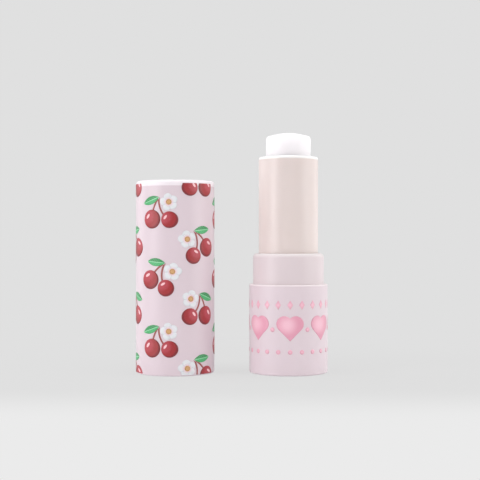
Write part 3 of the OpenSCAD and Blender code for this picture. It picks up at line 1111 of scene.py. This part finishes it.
class Stick:
    """The stick itself: its case, the tube that turns, the mechanism inside and the balm."""

    FINISHES = {
        "base_shell": Dress.CASE, "collar": Dress.COLLAR, "guide_sleeve": Dress.SLEEVE,
        "drag_ring": Dress.RING, "outer_tube": Dress.TUBE, "spiral_sleeve": Dress.SLEEVE,
        "bullet_cup": Dress.SLEEVE, "balm": Dress.BALM,
    }

    def build(self, wardrobe: Wardrobe) -> None:
        """Dresses the solids and prints the base."""
        for node, dress in self.FINISHES.items():
            wardrobe.dress_node(node, dress)
        BasePrint().build(RoundWall("base_shell", "base", "base_print_trims"), wardrobe)


class Cap:
    """The cap that was taken off, with its print."""

    def build(self, wardrobe: Wardrobe) -> None:
        """Dresses the solid and prints it."""
        wardrobe.dress_node("cap", Dress.CAP)
        CapPrint().build(RoundWall("cap", "cap", "cap_print_cherries"), wardrobe)


@dataclass(frozen=True)
class Softbox:
    """A lamp behind a sheet of diffuser, aimed at the object."""

    name: str
    at: tuple[float, float, float]
    width: float
    height: float
    power: float
    colour: str

    def build(self, target: Vector) -> None:
        """Sets the lamp up.

        Args:
            target: the point that it is aimed at.
        """
        light = bpy.data.lights.new(self.name, "AREA")
        light.shape = "RECTANGLE"
        light.size, light.size_y = self.width, self.height
        light.energy = self.power
        light.color = linear(self.colour)[:3]
        lamp = bpy.data.objects.new(self.name, light)
        lamp.location = self.at
        lamp.rotation_euler = (target - Vector(self.at)).to_track_quat("-Z", "Y").to_euler()
        bpy.context.scene.collection.objects.link(lamp)


@dataclass
class Studio:
    """A pale table and backdrop, softboxes and rim lights on both sides, a top light, and the camera."""

    camera_at: tuple[float, float, float] = (-0.01315, -0.299, 0.0358)
    lens: float = 82.5
    sensor: float = 36.0
    clip: tuple[float, float] = (0.01, 20.0)
    table_half: float = 8.0
    backdrop: str = "#E0E0E0"
    table_near: str = "#EBEBEB"
    bounce: str = "#F6F4F5"
    in_shade: str = "#C8C8C8"
    near_y: float = -0.080
    far_y: float = -0.033
    ambient: float = 0.35
    shadow: float = 0.16
    shadow_reach: float = 0.10
    boxes: tuple[Softbox, ...] = (
        Softbox("left softbox", (-0.576, -0.325, 0.12), 0.26, 0.70, 3.2, "#FFFDFE"),
        Softbox("right softbox", (0.605, -0.201, 0.12), 0.34, 0.70, 2.6, "#FFFEFC"),
        Softbox("left rim light", (-0.602, 0.275, 0.16), 0.26, 0.70, 0.95, "#FFFDFE"),
        Softbox("right rim light", (0.550, 0.325, 0.16), 0.26, 0.70, 1.0, "#FFFEFC"),
        Softbox("top softbox", (-0.013, 0.0, 0.62), 0.50, 0.40, 2.2, "#FFFFFF"),
    )

    def seen(self, tree: bpy.types.NodeTree) -> bpy.types.NodeSocket:
        """Gives 1 where the camera sees the surface, by itself or in a mirror or through glass."""
        path = add(tree, "ShaderNodeLightPath").outputs
        return calc(tree, "MAXIMUM", calc(tree, "MAXIMUM", path["Is Camera Ray"], path["Is Glossy Ray"]),
                    path["Is Transmission Ray"])

    def light_world(self) -> None:
        """Gives an even light from all round, and the plain backdrop to what looks at it."""
        world = bpy.data.worlds.new("studio")
        world.use_nodes = True
        tree = world.node_tree
        tree.nodes.clear()
        around = add(tree, "ShaderNodeBackground", {"Color": linear("#FFFFFF"), "Strength": self.ambient})
        behind = add(tree, "ShaderNodeBackground", {"Color": linear(self.backdrop), "Strength": 1.0})
        mix = add(tree, "ShaderNodeMixShader", {
            0: self.seen(tree), 1: around.outputs[0], 2: behind.outputs[0]})
        add(tree, "ShaderNodeOutputWorld", {"Surface": mix.outputs[0]})
        bpy.context.scene.world = world

    def lay_table(self) -> None:
        """Makes the table: the backdrop's grey, paler towards the camera, with only a faint shadow on it."""
        half = self.table_half
        corners = [(-half, -half, 0), (half, -half, 0), (half, half, 0), (-half, half, 0)]
        mesh = bpy.data.meshes.new("table")
        mesh.from_pydata(corners, [], [(0, 1, 2, 3)])
        table = bpy.data.objects.new("table", mesh)
        bpy.context.scene.collection.objects.link(table)
        material = bpy.data.materials.new("pale table top")
        material.use_nodes = True
        tree = material.node_tree
        tree.nodes.clear()
        place = add(tree, "ShaderNodeTexCoord").outputs["Object"]
        depth = add(tree, "ShaderNodeSeparateXYZ", {0: place}).outputs[1]
        near = ramp(tree, depth, self.far_y, self.near_y)
        colour = blended(tree, near, self.backdrop, self.table_near)
        glow = add(tree, "ShaderNodeEmission", {"Color": colour, "Strength": 1.0}).outputs[0]
        seen = self.seen(tree)
        tone = blended(tree, seen, self.bounce, self.in_shade)
        matt = add(tree, "ShaderNodeBsdfDiffuse", {"Color": tone}).outputs[0]
        away = add(tree, "ShaderNodeVectorMath", {0: place}, operation="LENGTH").outputs["Value"]
        close = ramp(tree, away, self.shadow_reach, 0.0, high=self.shadow)
        share = calc(tree, "MULTIPLY", seen, calc(tree, "SUBTRACT", 1.0, close))
        mix = add(tree, "ShaderNodeMixShader", {0: share, 1: matt, 2: glow})
        add(tree, "ShaderNodeOutputMaterial", {"Surface": mix.outputs[0]})
        mesh.materials.append(material)

    def set_camera(self) -> None:
        """Puts the level camera at the photograph's viewing angle."""
        data = bpy.data.cameras.new("camera")
        data.lens, data.sensor_width = self.lens, self.sensor
        data.clip_start, data.clip_end = self.clip
        camera = bpy.data.objects.new("camera", data)
        camera.location = self.camera_at
        camera.rotation_euler = (math.radians(90), 0, 0)
        bpy.context.scene.collection.objects.link(camera)
        bpy.context.scene.camera = camera

    def build(self) -> None:
        """Sets up the view, the backdrop, the table and the lamps."""
        bpy.context.scene.view_settings.view_transform = "Standard"
        self.set_camera()
        self.light_world()
        self.lay_table()
        target = Vector((self.camera_at[0], 0.0, self.camera_at[2]))
        for box in self.boxes:
            box.build(target)


def main() -> None:
    """Builds the studio and dresses the stick and its cap."""
    logging.basicConfig(level=logging.INFO, format="%(name)s: %(message)s")
    wardrobe = Wardrobe()
    Studio().build()
    Stick().build(wardrobe)
    Cap().build(wardrobe)


if __name__ == "__main__":
    main()
